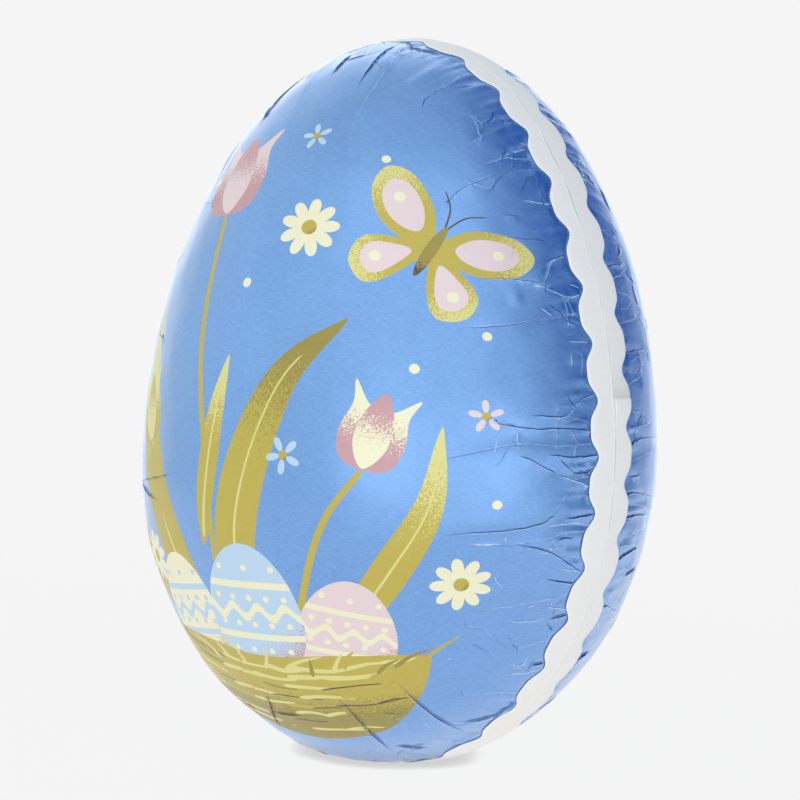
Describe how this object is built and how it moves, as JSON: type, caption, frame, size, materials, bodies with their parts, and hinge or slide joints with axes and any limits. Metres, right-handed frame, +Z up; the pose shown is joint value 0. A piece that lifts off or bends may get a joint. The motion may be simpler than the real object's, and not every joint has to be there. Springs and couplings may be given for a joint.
{
  "type": "foil-wrapped hollow chocolate egg",
  "caption": "Tall hollow chocolate egg in pleated blue foil, with a white wavy-edged ribbon round its upright seam, standing on its wide end.",
  "frame": {"origin": "on the surface it stands on, under the middle of the egg", "axes": "+Z up from the wide end to the tip, seam in the XZ plane, printed front half facing -Y"},
  "size_m": [0.1288, 0.128, 0.1779],
  "materials": {
    "printed_foil": "thin foil, satin, printed in transparent blue with a spring picture in opaque inks",
    "plain_foil": "thin foil, satin, printed in plain transparent blue",
    "ribbon_paper": "matt white, cut with wavy edges"
  },
  "bodies": {
    "root": {"egg_front": "printed_foil", "egg_back": "plain_foil", "seam_ribbon": "ribbon_paper"}
  },
  "joints": []
}
